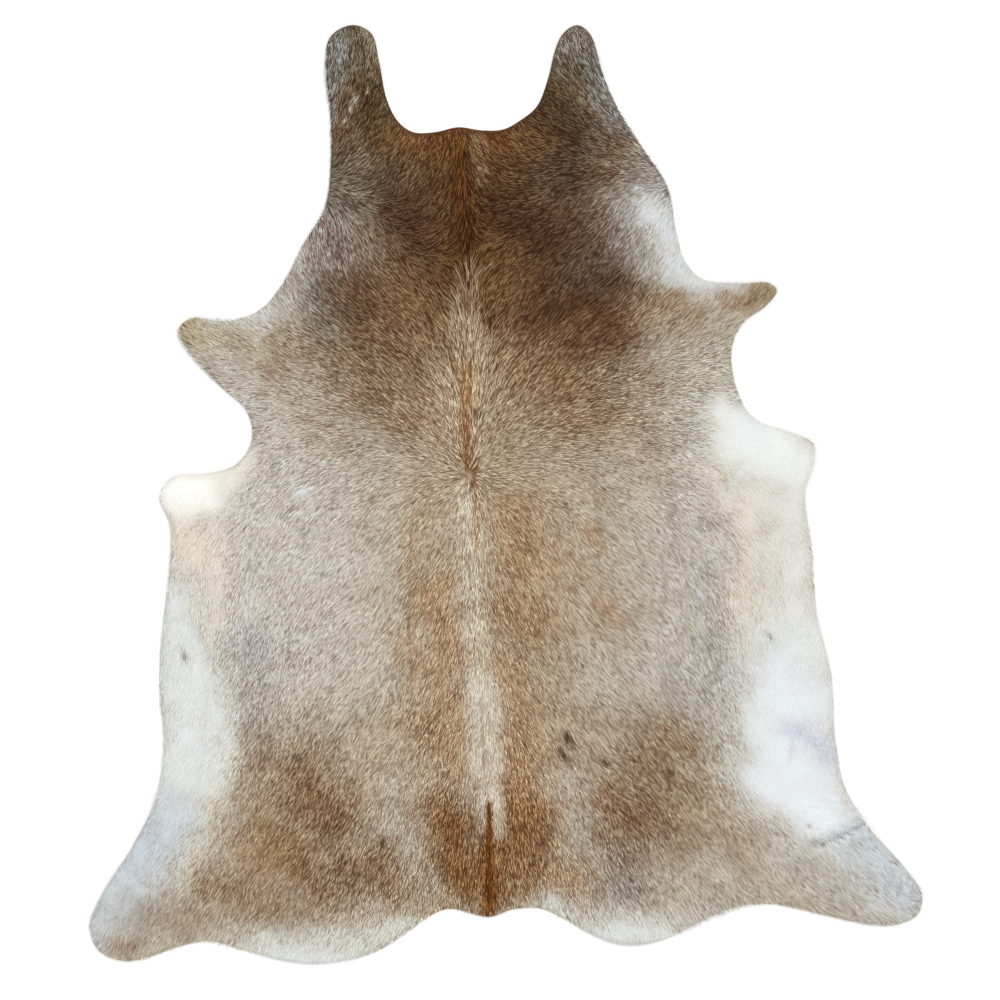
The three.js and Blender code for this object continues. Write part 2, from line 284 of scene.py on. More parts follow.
# Soft patches of colour along straight lines, each laid over the ones before
patches = [
    # fromX, fromY, toX, toY, reach, colour, strength
    (-350, -60, -330, -380, 130, "oat", 0.4),  # sides of the back
    (255, -100, 330, -350, 100, "oat", 0.65),
    (-440, 120, -470, -300, 110, "lilac", 0.5),  # left flank
    (-575, -30, -568, -330, 64, "lilac", 0.8),
    (-560, -350, -560, -490, 60, "dusk", 0.55),
    (-85, 860, -60, 430, 270, "walnut", 1.0),  # neck
    (-375, 1040, -372, 950, 62, "ash", 1.0),  # left neck flap
    (-320, 905, -290, 810, 60, "olive", 0.95),
    (-380, 880, -380, 750, 50, "umber", 0.8),
    (-400, 960, -396, 850, 32, "ash", 0.85),
    (-372, 940, -368, 912, 26, "ash", 0.6),
    (-335, 1046, -302, 985, 20, "olive", 0.6),
    (160, 1040, 165, 950, 60, "slate", 0.8),  # right neck flap
    (182, 955, 190, 915, 22, "ash", 0.7),
    (205, 940, 255, 830, 44, "ash", 0.9),
    (130, 900, 150, 820, 55, "olive", 0.75),
    (90, 900, 95, 840, 38, "olive", 0.8),
    (120, 780, 160, 725, 80, "soot", 0.8),
    (-250, 790, 80, 795, 44, "saddle", 0.55),  # neck edge
    (-260, 690, -245, 655, 55, "soot", 0.6),  # dark clouds of the neck
    (-205, 620, -190, 560, 60, "wine", 0.8),
    (10, 640, 80, 560, 80, "wine", 0.9),
    (150, 640, 200, 580, 60, "wine", 0.4),
    (-60, 800, -58, 700, 17, "cocoa", 0.75),  # beside the dark line
    (290, 690, 260, 560, 56, "mauve", 0.45),  # right side of the neck
    (240, 775, 230, 730, 42, "umber", 0.6),
    (330, 615, 380, 530, 66, "silver", 0.97),  # silver edge of the neck
    (395, 520, 425, 480, 37, "silver", 0.9),
    (318, 752, 352, 690, 30, "ash", 0.8),
    (-365, 712, -370, 650, 60, "smoke", 0.95),  # left side of the neck
    (-435, 610, -420, 570, 48, "greige", 0.75),
    (-475, 550, -530, 410, 66, "oat", 0.9),
    (-390, 560, -330, 490, 70, "mauve", 0.85),
    (-420, 440, -400, 390, 58, "slate", 0.75),  # left shoulder
    (-340, 420, -300, 330, 70, "umber", 0.8),
    (-250, 450, -180, 335, 80, "brown", 0.5),
    (-230, 420, -180, 220, 80, "brown", 0.4),
    (-440, 325, -410, 300, 40, "cocoa", 0.45),
    (-510, 330, -520, 270, 50, "taupe", 0.7),
    (120, 600, 190, 550, 62, "wine", 0.5),  # right shoulder
    (190, 475, 250, 435, 66, "soot", 0.8),
    (-10, 480, 60, 380, 70, "brown", 0.5),
    (70, 440, 150, 415, 50, "wine", 0.5),
    (70, 395, 230, 360, 74, "umber", 0.85),
    (150, 415, 235, 395, 50, "wine", 0.5),
    (300, 430, 330, 400, 50, "cocoa", 0.55),
    (190, 378, 300, 372, 36, "brick", 0.75),
    (140, 350, 160, 325, 38, "brick", 0.7),
    (360, 425, 390, 400, 32, "tan", 0.4),
    (110, 265, 170, 195, 72, "cocoa", 0.85),
    (110, 280, 150, 220, 60, "brown", 0.4),
    (0, 310, 30, 230, 50, "cocoa", 0.65),
    (230, 265, 320, 240, 56, "cocoa", 0.5),
    (180, 180, 300, 160, 50, "taupe", 0.8),
    (375, 305, 420, 220, 74, "greige", 0.85),  # below the right front leg
    (512, 250, 530, 195, 26, "silver", 0.9),
    (300, 110, 390, 60, 66, "lilac", 0.3),
    (455, 370, 490, 250, 62, "greige", 0.9),  # right front leg
    (530, 446, 605, 455, 36, "oliveTan", 0.7),
    (430, 482, 500, 474, 32, "silver", 0.9),
    (480, 440, 532, 432, 24, "amber", 0.5),
    (435, 445, 450, 425, 26, "oat", 0.55),
    (290, 395, 400, 375, 42, "taupe", 0.6),
    (-705, 385, -650, 370, 45, "khaki", 1.0),  # left front leg
    (-650, 394, -500, 408, 34, "oat", 0.8),
    (-650, 394, -550, 390, 26, "silver", 0.65),
    (-610, 335, -560, 315, 52, "khaki", 0.4),
    (-610, 270, -540, 190, 58, "oat", 0.9),
    (-350, 300, -270, 260, 60, "taupe", 0.7),  # behind the shoulders
    (-230, 310, -160, 245, 66, "cocoa", 0.75),
    (-330, 225, -240, 185, 60, "cocoa", 0.6),
    (-90, 440, -88, 350, 30, "taupe", 0.7),  # fan over the whorl
    (-92, 340, -86, 210, 58, "sand", 0.6),
    (-120, 190, -40, 100, 90, "sand", 0.7),  # around the whorl
    (20, 230, 100, 130, 88, "tan", 0.3),
    (230, 120, 320, 70, 60, "sand", 0.45),
    (-180, 150, -140, 60, 70, "tan", 0.3),
    (-440, 190, -380, 130, 60, "sand", 0.4),
    (190, -20, 230, -280, 80, "sand", 0.4),  # right side of the back
    (-170, -40, -170, -620, 88, "sand", 0.7),  # beside the back
    (30, -20, 50, -620, 100, "sand", 0.8),
    (90, -150, 120, -265, 60, "tan", 0.4),
    (0, -50, 50, -150, 55, "tan", 0.75),
    (-5, -235, 70, -315, 48, "amber", 0.75),
    (-145, -215, -125, -360, 44, "tan", 0.8),
    (-190, -370, -150, -450, 56, "tan", 0.4),
    (10, -400, 35, -500, 45, "tan", 0.8),
    (190, -80, 200, -95, 22, "tan", 0.6),
    (215, -240, 235, -260, 22, "tan", 0.6),
    (430, -20, 440, -120, 66, "lilac", 0.45),  # right flank
    (450, -150, 465, -400, 56, "lilac", 0.45),
    (470, -180, 480, -420, 36, "dusk", 0.5),
    (400, -420, 430, -520, 58, "dusk", 0.4),
    (-480, -670, -390, -850, 135, "taupe", 0.92),  # left rump
    (-560, -580, -480, -610, 62, "cocoa", 0.4),
    (-420, -660, -365, -705, 62, "brown", 0.65),
    (-400, -720, -380, -750, 36, "umber", 0.4),
    (-300, -560, -300, -640, 60, "sand", 0.5),
    (-250, -650, -215, -740, 42, "greige", 0.6),
    (-190, -520, -130, -565, 40, "amber", 0.6),
    (-120, -470, -98, -620, 32, "tan", 0.6),
    (-150, -690, -125, -860, 60, "saddle", 0.62),
    (-122, -738, -95, -860, 46, "saddle", 0.75),
    (20, -525, 75, -560, 42, "amber", 0.8),  # right rump
    (20, -600, 80, -680, 70, "tan", 0.95),
    (10, -680, 70, -770, 56, "saddle", 0.7),
    (0, -760, 30, -870, 50, "saddle", 0.78),
    (-38, -800, -38, -920, 40, "saddle", 0.8),
    (140, -630, 165, -820, 44, "oat", 0.55),
    (150, -700, 160, -740, 30, "greige", 0.8),
    (120, -790, 190, -850, 42, "sand", 0.5),
    (40, -850, 170, -880, 46, "tan", 0.8),
    (25, -810, 60, -868, 36, "brown", 0.55),
    (190, -880, 260, -890, 34, "ash", 0.4),
    (285, -600, 370, -760, 108, "taupe", 0.8),
    (320, -590, 400, -650, 64, "cocoa", 0.55),
    (360, -540, 400, -556, 26, "amber", 0.65),
    (390, -500, 430, -540, 36, "taupe", 0.5),
    (80, -505, 190, -550, 48, "sand", 0.5),
    (215, -690, 300, -760, 60, "brown", 0.45),
    (225, -670, 250, -710, 40, "amber", 0.5),
    (290, -700, 330, -738, 40, "brick", 0.45),
    (250, -800, 290, -870, 44, "mauve", 0.5),
    (322, -775, 335, -785, 32, "greige", 0.55),
    (420, -700, 570, -790, 70, "sand", 0.5),
    (350, -850, 520, -890, 46, "greige", 0.65),
    (440, -810, 470, -835, 32, "oat", 0.6),
    (600, -805, 740, -860, 56, "oat", 0.55),  # towards the right hind leg
    (215, -760, 250, -800, 36, "brown", 0.45),  # low on the right rump
    (-540, -755, -490, -800, 44, "goldTan", 0.6),  # outer side of the left rump
    (-575, -810, -550, -870, 44, "tan", 0.55),
    (-640, -560, -650, -690, 28, "shell", 0.55),  # over the left hind leg
    (-655, -700, -705, -840, 46, "cream", 0.55),
    (-530, -800, -500, -860, 38, "tan", 0.5),  # low on the left rump
    (-490, -780, -440, -880, 48, "brown", 0.55),
    (-410, -865, -395, -900, 36, "cocoa", 0.5),
    (-512, -872, -470, -888, 28, "greige", 0.6),
    (-350, -845, -340, -872, 28, "umber", 0.45),
    (-290, -840, -250, -890, 46, "brown", 0.7),
    (-660, -880, -540, -925, 52, "taupe", 0.9),
    (-530, -905, -420, -925, 38, "taupe", 0.5),
    (-620, -860, -590, -915, 30, "cocoa", 0.3),
    (-770, 10, -670, 25, 50, "white", 1.0),  # left belly
    (-730, -30, -660, -15, 46, "white", 0.85),
    (-590, 72, -612, 44, 34, "shell", 0.85),
    (-755, -95, -690, -120, 56, "peach", 0.8),
    (-648, -85, -646, -300, 38, "peach", 0.55),
    (-755, -230, -730, -400, 82, "belly", 0.95),
    (-740, -420, -700, -500, 86, "belly", 0.95),
    (-730, -540, -720, -600, 82, "belly", 0.95),
    # painted shade in a hollow of the left belly
    (-722, -585, -715, -615, 26, "hollowShade", 0.8),
    (-715, -610, -765, -720, 84, "belly", 1.0),  # left hind leg
    (-780, -750, -860, -870, 88, "steel", 1.0),
    (-885, -890, -910, -980, 48, "blueGrey", 0.9),
    (-790, -940, -680, -965, 42, "taupe", 0.4),
    (-868, -1000, -838, -1016, 26, "brown", 0.4),
    (482, 175, 560, 100, 56, "snow", 0.9),  # right belly
    (600, 110, 690, 40, 72, "snow", 1.0),
    (510, 110, 600, 60, 56, "snow", 0.65),
    (520, 175, 545, 150, 24, "frost", 0.7),
    (455, 60, 480, 0, 34, "peach", 0.6),
    (525, 15, 560, -20, 52, "milk", 0.85),
    (535, -55, 548, -130, 46, "peach", 0.8),
    (525, -180, 545, -320, 42, "peach", 0.75),
    (585, -150, 600, -330, 36, "milk", 0.7),
    (640, -20, 655, -330, 78, "milk", 1.0),
    (588, -390, 598, -580, 72, "belly", 0.95),
    (562, -540, 580, -620, 32, "belly", 0.6),
    (640, -340, 680, -440, 90, "belly", 0.95),
    (620, -450, 690, -620, 98, "frost", 0.9),
    # painted shade in a hollow of the right belly
    (630, -520, 705, -560, 30, "hollowShade", 0.9),
    (610, -640, 750, -740, 84, "frost", 1.0),  # right hind leg
    (785, -790, 840, -840, 58, "steel", 0.9),
    (800, -850, 880, -900, 66, "blueGrey", 1.0),
    (700, -855, 780, -885, 36, "oat", 0.55),
    (740, -905, 840, -940, 26, "oat", 0.5),
    (-620, -1014, -330, -1030, 30, "oat", 0.5),  # tail edge
    (-560, -1034, -350, -1040, 42, "belly", 0.95),
    (-330, -1022, -190, -956, 24, "sage", 0.75),
    (-190, -928, -120, -912, 22, "sand", 0.6),
    (90, -928, 180, -952, 40, "oat", 0.7),
    (190, -972, 380, -982, 44, "oat", 0.7),
    (110, -938, 200, -978, 30, "sage", 0.55),
    (200, -984, 370, -990, 40, "belly", 0.95),
    (400, -962, 560, -905, 36, "oat", 0.8),
]

# Narrow marks and lines, with a crisper edge
marks = [
    # fromX, fromY, toX, toY, reach, colour, strength
    (-104, 790, -92, 540, 20, "chestnut", 0.95),  # dark line of the neck
    (-105, 815, -104, 780, 20, "saddle", 0.7),
    (-90, 530, -86, 420, 10, "walnut", 0.6),
    (-90, 275, -85, 60, 18, "russet", 0.5),  # red line over the whorl
    (-78, 62, -68, 5, 14, "amber", 0.85),
    (-68, -10, -64, -80, 8, "amber", 0.6),
    (-81, 39, -80, 35, 5, "cream", 0.9),
    (-92, -15, -64, -120, 24, "cream", 0.7),  # pale band of the back
    (-64, -120, -64, -300, 24, "cream", 0.35),
    (-62, -300, -54, -440, 28, "cream", 0.65),
    (-50, -440, -42, -600, 38, "ivory", 0.85),
    (-38, -600, -34, -690, 30, "ivory", 0.8),
    (-22, -680, -16, -760, 15, "cream", 0.65),
    (-72, -30, -66, -130, 7, "tan", 0.6),
    (-56, -480, -42, -690, 3, "tan", 0.5),
    (-215, -80, -215, -440, 3.5, "amber", 0.7),  # thin line left of the back
    (-38, -695, -38, -930, 7, "rust", 1.0),  # tail line
    (-38, -850, -38, -935, 16, "rust", 0.8),
    (-470, 4, -452, 10, 13, "silver", 0.95),  # old scuffs
    (-412, 66, -404, 72, 7, "silver", 0.6),
    (-334, 884, -342, 876, 4, "ivory", 0.9),  # small scars of the neck
    (-346, 862, -348, 856, 4, "ivory", 0.9),
    (-362, 842, -364, 832, 4, "cream", 0.7),
    (-308, 905, -312, 898, 4, "cream", 0.5),
    (212, 747, 230, 741, 4, "cream", 0.6),
    (286, 690, 304, 680, 4, "silver", 0.8),
    (304, 680, 316, 664, 4, "silver", 0.8),
    (136, -540, 144, -556, 9, "wine", 0.8),  # dark spots
    (122, -574, 134, -588, 9, "wine", 0.7),
    (140, -600, 144, -604, 7, "umber", 0.6),
    (218, -598, 224, -604, 9, "umber", 0.75),
    (-278, -778, -274, -784, 9, "umber", 0.7),
    (-724, -360, -720, -364, 5, "slate", 0.6),  # left dimple
    (588, -318, 590, -322, 5, "slate", 0.6),  # right dimple
    (690, -785, 806, -736, 4.5, "crease", 0.75),  # painted shadow along the crease of the right hind leg
    (644, -546, 630, -602, 4, "hollowShade", 0.8),  # small marks of painted shade in the hollow above it
    (676, -738, 680, -742, 4, "taupe", 0.5),
    (688, -776, 692, -779, 5, "taupe", 0.6),
]

# Where the locks clump into long strands
strandy = [
    # fromX, fromY, toX, toY, reach, amount
    (-96, 815, -88, 545, 34, 0.9),
    (-82, 535, -82, 250, 72, 1.0),
    (-84, 240, -82, 60, 42, 0.6),
    (-74, -20, -62, -300, 34, 0.4),
    (-370, 740, -400, 620, 62, 0.4),
    (-350, 1030, -350, 930, 75, 0.4),
    (165, 1030, 180, 930, 75, 0.4),
    (-40, -690, -38, -930, 22, 0.4),
]

# Where the locks differ less from one another
calm = [
    # fromX, fromY, toX, toY, reach, amount
    (430, 440, 600, 450, 70, 0.45),
    (-720, 370, -560, 300, 80, 0.3),
    (-560, -760, -500, -900, 90, 0.35),
    (-880, -960, -680, -960, 70, 0.4),
    (-760, -700, -870, -880, 90, 0.5),
    (420, -800, 780, -900, 90, 0.3),
]

# How the hair lies, in degrees from +X, along the hide and across it
lieAcross = [-1.0, -0.92, -0.45, -0.1, 0.0, 0.1, 0.45, 0.92, 1.0]
lie = np.array([
    # y, leftFar, leftMid, leftNear, back, rightNear, rightMid, rightFar
    (1020, 262, 250, 250, 270, -60, -55, -75),
    (815, 245, 240, 250, 270, -52, -30, -35),
    (740, 212, 238, 248, 270, -42, 2, -12),
    (690, 165, 228, 246, 270, -28, 22, 15),
    (640, 128, 178, 242, 270, -8, 34, 55),
    (590, 105, 148, 226, 270, 10, 43, 66),
    (546, 100, 132, 190, 270, 22, 47, 66),
    (530, 100, 132, 165, 90, 34, 47, 66),
    (480, 106, 137, 132, 90, 52, 45, 62),
    (400, 135, 145, 122, 90, 60, 40, 52),
    (255, 175, 160, 118, 90, 62, 22, 0),
    (120, 208, 185, 140, 90, 40, 0, -15),
    (40, 225, 208, 190, 270, -10, -22, -30),
    (-60, 240, 228, 240, 270, -60, -40, -45),
    (-240, 262, 230, 245, 270, -62, -40, -85),
    (-460, 262, 235, 250, 270, -65, -45, -80),
    (-685, 242, 240, 255, 270, -72, -50, -55),
    (-910, 240, 245, 262, 270, -80, -62, -40),
], float)
whorl = {"x": -81, "y": 40, "reach": 60}
# Where the neck's hair meets the back's: a little higher on the right of the back than on the left
meeting = {
    "x": -84,
    "y": 538,
    "slant": 16,  # up on the right, down on the left
    "half": 24,  # in full this far from the back
    "tall": 60,  # its reach along the hide
    "wide": 90,  # and across it
}


def unit(arrow):
    return arrow / np.maximum(np.linalg.norm(arrow, axis=-1, keepdims=True), 1e-6)


def turned(arrow, angle):
    cos, sin = np.cos(angle), np.sin(angle)
    x, y = arrow.T
    return np.stack([x * cos - y * sin, x * sin + y * cos], axis=-1)


def lieAt(place, side):
    # Blends the directions of the table as arrows, and turns them straight away from the whorl beside it
    rows = lie[np.argsort(lie[:, 0])]
    angles = np.radians(np.column_stack([rows[:, 1], rows[:, 1:], rows[:, -1]]))

    fromBack = place[..., 0] - meeting["x"]
    above = (place[..., 1] - meeting["y"]) / meeting["tall"]
    slant = meeting["slant"] * np.clip(fromBack / meeting["half"], -1, 1)
    slant = slant * np.exp(-(above**2) - (fromBack / meeting["wide"]) ** 2)

    def cellOf(values, knots):
        # The knot before each value, and how far the value is towards the next one
        shortOfLast = 1.001
        spot = np.interp(values, knots, np.arange(len(knots))).clip(0, len(knots) - shortOfLast)
        before = spot.astype(int)
        return before, spot - before

    r, fr = cellOf(place[..., 1] - slant, rows[:, 0])
    c, fc = cellOf(side, np.array(lieAcross))

    def blend(table):
        upper = table[r, c] * (1 - fc) + table[r, c + 1] * fc
        lower = table[r + 1, c] * (1 - fc) + table[r + 1, c + 1] * fc
        return upper * (1 - fr) + lower * fr

    arrow = np.stack([blend(np.cos(angles)), blend(np.sin(angles))], axis=-1)
    out = place - np.array((whorl["x"], whorl["y"]))
    far = np.linalg.norm(out, axis=-1, keepdims=True)
    near = np.exp(-((far / whorl["reach"]) ** 2))
    return unit(arrow * (1 - near) + out / np.maximum(far, 1) * near)


def linear(colour):
    # Screen colour to light
    share = np.asarray(colour, float) / 255
    return np.where(share <= 0.04045, share / 12.92, ((share + 0.055) / 1.055) ** 2.4)


# Soft noise in the coat
clouds = {
    "drift": [(80, 20, 11), (26, 9, 13)],  # size, how far it pushes the edges of patches, seed
    "markDrift": 0.15,  # the share of that push that marks get
    "tone": [(34, 0.6, 15), (13, 0.5, 16)],  # size, amount, seed
    "bright": (70, 170, 205, 235),  # darker coat is cloudier, and white stays nearly even
    "depth": (0.13, 0.1, 0.05, 0.008),
    "tint": (0.8, 1.0, 1.25),  # darker clouds are browner
}


def towards(place, rows):
    # Each row's share at each place: exp(-(distance / reach) ** edgeSharpness), with what the row holds
    for row in rows:
        line, reach, held = row[:4], row[4], row[5:]
        yield np.exp(-((awayFrom(place, line) / reach) ** edgeSharpness)), held


def amountAt(place, rows, most):
    # The rows' shares times their amounts, added up
    return sum(share * amount for share, (amount,) in towards(place, rows)).clip(0, most)


def laidOver(colour, place, rows):
    # Each row takes the colour towards its own, by its share times its strength
    colour = colour.copy()
    for share, (name, strength) in towards(place, rows):
        colour += (np.array(coatColours[name], float) - colour) * (share * strength)[..., None]
    return colour


def driftAt(place):
    # Noise of two sizes that pushes the edges of patches about
    return sum(
        np.stack([softNoise(place, size, seed), softNoise(place, size, seed + 1)], axis=-1) * push
        for size, push, seed in clouds["drift"]
    )


def patchesAt(place):
    # The ground colour with every patch laid over it, times 1 + noise * depth * tint
    ground = np.broadcast_to(np.array(coatColours["greige"], float), place.shape[:-1] + (3,))
    colour = laidOver(ground, place + driftAt(place), patches)
    cloud = sum(amount * softNoise(place, size, seed) for size, amount, seed in clouds["tone"])
    depth = np.interp(colour.mean(axis=-1), clouds["bright"], clouds["depth"])
    return colour * (1 + (cloud * depth)[..., None] * np.array(clouds["tint"]))


def withMarks(place, colour):
    # Marks keep their place, and their edges waver a little
    return laidOver(colour, place + driftAt(place) * clouds["markDrift"], marks)


def coatAt(place):
    return withMarks(place, patchesAt(place))


# Meshes
def newObject(name, data):
    made = bpy.data.objects.new(name, data)
    bpy.context.scene.collection.objects.link(made)
    return made


def newMesh(name, points, faces, materials, slots=None):
    mesh = bpy.data.meshes.new(name)
    faces = np.asarray(faces, np.int32)
    mesh.vertices.add(len(points))
    mesh.vertices.foreach_set("co", np.asarray(points, np.float32).ravel())
    mesh.loops.add(faces.size)
    mesh.loops.foreach_set("vertex_index", faces.ravel())
    mesh.polygons.add(len(faces))
    mesh.polygons.foreach_set("loop_start", np.arange(len(faces), dtype=np.int32) * faces.shape[1])
    for material in materials:
        mesh.materials.append(material)
    if slots is not None:
        mesh.polygons.foreach_set("material_index", np.asarray(slots, np.int32))
    mesh.update(calc_edges=True)
    mesh.shade_flat()
    return newObject(name, mesh)


def paint(piece, colours):
    # One colour a vertex, kept as light
    layer = piece.data.color_attributes.new("coat", "FLOAT_COLOR", "POINT")
    full = np.ones((len(colours), 4), np.float32)
    full[:, :3] = linear(np.clip(colours, 0, brightest))
    layer.data.foreach_set("color", full.ravel())


def mapPiece(piece, cornerUv):
    layer = piece.data.uv_layers.new(name="OFBake", do_init=False)
    layer.uv.foreach_set("vector", np.asarray(cornerUv, np.float32).ravel())


# Materials
class Wire:
    # A socket in a material: sums and products with it add Math nodes, and node() makes any other node
    def __init__(self, tree, socket=None):
        self.tree = tree
        self.socket = socket

    def feed(self, node, inputs):
        # Each input gets a value, or a link from another wire
        for name, value in inputs.items():
            if isinstance(value, Wire):
                self.tree.links.new(value.socket, node.inputs[name])
            else:
                node.inputs[name].default_value = value

    def node(self, kind, settings, inputs, output=0):
        # A new node with its settings and inputs, as the wire of one of its outputs
        made = self.tree.nodes.new(kind)
        for name, value in settings.items():
            if name == "stops":
                for element, (place, colour) in zip(made.color_ramp.elements, value):
                    element.position = place
                    element.color = (*colour, 1)
            else:
                setattr(made, name, value)
        self.feed(made, inputs)
        return Wire(self.tree, made.outputs[output])

    def math(self, operation, one, two):
        return self.node("ShaderNodeMath", {"operation": operation}, {0: one, 1: two})

    def __add__(self, other):
        return self.math("ADD", self, other)

    def __radd__(self, other):
        return self.math("ADD", other, self)

    def __mul__(self, other):
        return self.math("MULTIPLY", self, other)

    def __rmul__(self, other):
        return self.math("MULTIPLY", other, self)


def newMaterial(name, surface):
    # The surface function gives the shader's inputs, each a number, a colour or a wire
    material = bpy.data.materials.new(name)
    material.use_nodes = True
    wire = Wire(material.node_tree)
    wire.feed(wire.tree.nodes["Principled BSDF"], surface(wire))
    return material


def coatColour(wire):
    return wire.node("ShaderNodeAttribute", {"attribute_name": "coat"}, {}, "Color")


def noiseAt(wire, scale, detail):
    place = wire.node("ShaderNodeTexCoord", {}, {}, "Object")
    return wire.node("ShaderNodeTexNoise", {}, {"Vector": place, "Scale": scale, "Detail": detail}, "Fac")


def bumpOf(wire, height, strength, distance):
    inputs = {"Height": height, "Strength": strength, "Distance": distance}
    return wire.node("ShaderNodeBump", {}, inputs)


def hairSurface(wire):
    # The locks and strands: the colour kept at each vertex
    return {"Base Color": coatColour(wire), "Roughness": 0.55, "Specular IOR Level": 0.06}


def undercoatSurface(wire):
    # The undercoat between the locks: the coat's colour times a warm grey of painted shade for the gaps,
    # mixed in by 0.1 plus half of a fine noise, and that noise as bump
    fine = noiseAt(wire, scale=420.0, detail=3.0)
    gapShadeGrey = (0.86, 0.83, 0.8, 1)
    colour = wire.node(
        "ShaderNodeMix", {"data_type": "RGBA", "blend_type": "MULTIPLY"},
        {0: 0.1 + 0.5 * fine, 6: coatColour(wire), 7: gapShadeGrey}, 2,
    )
    normal = bumpOf(wire, fine, strength=0.4, distance=0.0008)
    return {"Base Color": colour, "Normal": normal, "Roughness": 0.85, "Specular IOR Level": 0.06}


def fleshSurface(wire):
    # The flesh side, pale suede: two browns blended by 0.7 of a cloudy noise plus 0.3 of a fine nap, and
    # the nap as bump
    cloud = noiseAt(wire, scale=7.0, detail=5.0)
    nap = noiseAt(wire, scale=260.0, detail=4.0)
    browns = [(0.3, (0.42, 0.37, 0.31)), (0.75, (0.62, 0.57, 0.5))]
    colour = wire.node("ShaderNodeValToRGB", {"stops": browns}, {"Fac": 0.7 * cloud + 0.3 * nap})
    normal = bumpOf(wire, nap, strength=0.5, distance=0.0005)
    return {
        "Base Color": colour, "Normal": normal,
        "Roughness": 0.95, "Specular IOR Level": 0.15, "Sheen Weight": 0.2,
    }


def cutEdgeSurface(wire):
    # The raw cut through the skin: two creams blended by a fine noise
    creams = [(0.3, (0.5, 0.42, 0.32)), (0.7, (0.72, 0.65, 0.54))]
    fibre = noiseAt(wire, scale=500.0, detail=2.0)
    colour = wire.node("ShaderNodeValToRGB", {"stops": creams}, {"Fac": fibre})
    return {"Base Color": colour, "Roughness": 0.8, "Specular IOR Level": 0.25}


def floorSurface(wire):
    # Plain matt paint
    return {"Base Color": studio["floorColour"], "Roughness": 0.8, "Specular IOR Level": 0.2}


# The skin
skin = {
    "rows": 168,  # faces from neck to tail
    "columns": 104,  # faces from edge to edge
    "depth": 2.6,  # skin and undercoat
    "rimDepth": 1.7,  # at the cut edge
    "crowding": 1.3,  # power that crowds the columns at the back
    "mapSide": 2200,  # side of the square that the map covers
    "mapScale": (0.95, 0.48),
    "mapStart": (0.02, 0.01),
    "mapUnder": (0.0, 0.5),  # from the top side to the underside
}


def buildSkin():
    # The plan of the hide at its lift plus the depth, the same plan at its lift, and a wall around them
    rows, columns = skin["rows"], skin["columns"]
    even = np.linspace(-1, 1, columns + 1)
    crowded = np.sign(even) * abs(even) ** skin["crowding"]
    along, side = np.meshgrid(np.linspace(0, 1, rows + 1), crowded, indexing="ij")
    plan = planAt(side, along)
    lift = liftAt(plan)
    onRim = np.zeros(lift.shape, bool)
    onRim[[0, -1], :] = True
    onRim[:, [0, -1]] = True
    depth = np.where(onRim, skin["rimDepth"], skin["depth"])
    upper = np.concatenate([plan, (lift + depth)[..., None]], axis=-1)
    under = np.concatenate([plan, lift[..., None]], axis=-1)
    points = np.concatenate([upper.reshape(-1, 3), under.reshape(-1, 3)])

    index = np.arange(lift.size).reshape(lift.shape)
    corners = (index[:-1, :-1], index[1:, :-1], index[1:, 1:], index[:-1, 1:])
    a, b, c, d = (part.ravel() for part in corners)
    top = np.stack([a, b, c, d], axis=1)
    bottom = np.stack([a, d, c, b], axis=1) + lift.size
    loop = np.concatenate([index[:-1, 0], index[-1, :-1], index[:0:-1, -1], index[0, :0:-1]])
    after = np.roll(loop, -1)
    wall = np.stack([loop + lift.size, after + lift.size, after, loop], axis=1)
    faces = np.concatenate([top, bottom, wall])
    slots = np.repeat([0, 1, 2], [len(top), len(bottom), len(wall)])

    surfaces = {"undercoat": undercoatSurface, "fleshSide": fleshSurface, "cutEdge": cutEdgeSurface}
    materials = [newMaterial(name, surface) for name, surface in surfaces.items()]
    piece = newMesh("hideSkin", points * mm, faces, materials, slots)
    wallSlot = 2
    piece.data.polygons.foreach_set("use_smooth", slots != wallSlot)
    colours = coatAt(points[:, :2])
    # The undercoat is painted darker than the coat, as painted shade in the gaps between the locks
    paint(piece, colours * atBrightness(colours.mean(axis=-1), "under")[:, None])
    flat = points[:, :2] / skin["mapSide"] + 0.5
    halves = np.where(np.arange(len(points))[:, None] < lift.size, (0.0, 0.0), skin["mapUnder"])
    mapPiece(piece, (flat * skin["mapScale"] + halves + skin["mapStart"])[faces.ravel()])
    print("skin:", len(faces), "faces, top area", round(cellAreas(upper).sum() * 1e-6, 4), "square metres")
    return piece, upper, side


def cellAreas(grid):
    first = np.cross(grid[1:, :-1] - grid[:-1, :-1], grid[1:, 1:] - grid[:-1, :-1])
    second = np.cross(grid[1:, 1:] - grid[:-1, :-1], grid[:-1, 1:] - grid[:-1, :-1])
    return (np.linalg.norm(first, axis=-1) + np.linalg.norm(second, axis=-1)) / 2


# The hair
hair = {
    "perSquareMetre": 90000,  # locks
    "length": 14.5,
    "lengthSpread": 0.28,
    "clumpLonger": 0.35,  # where locks clump
    "width": 1.2,
    "widthSpread": (0.7, 1.25),
    "fullLength": 9,  # a shorter lock is narrower too
    "stand": 1.0,  # how far its tip stands off the skin
    "ruffle": (0.35, 0.25),  # added by the tuft's noise and its own
    "ruffleLimits": (0.25, 2.2),
    "sink": 0.25,  # how deep its root is
    "shoulder": (0.36, 0.85),  # where it is widest, in shares of length and stand
    "stray": 5.5,  # degrees from its neighbours
    "sway": (7, 45, 21),  # degrees that the lie wanders, over what size, seed
    "overhang": 2.2,  # how far it may pass the cut edge
    "inward": (5, 1.2),  # longest that grows inward from the edge, and more for each mm
    "leastFacing": 0.05,
    "edgeBand": 2,  # faces in from the edge
    "colourReach": 7,  # how far off it may take its colour
    "tuft": (1.6, 4.5, 31),  # size of its noise, how far that runs with the hair, seed
    "strand": (4.5, 18.0, 32),  # the same where locks clump
    "seed": 7,
}
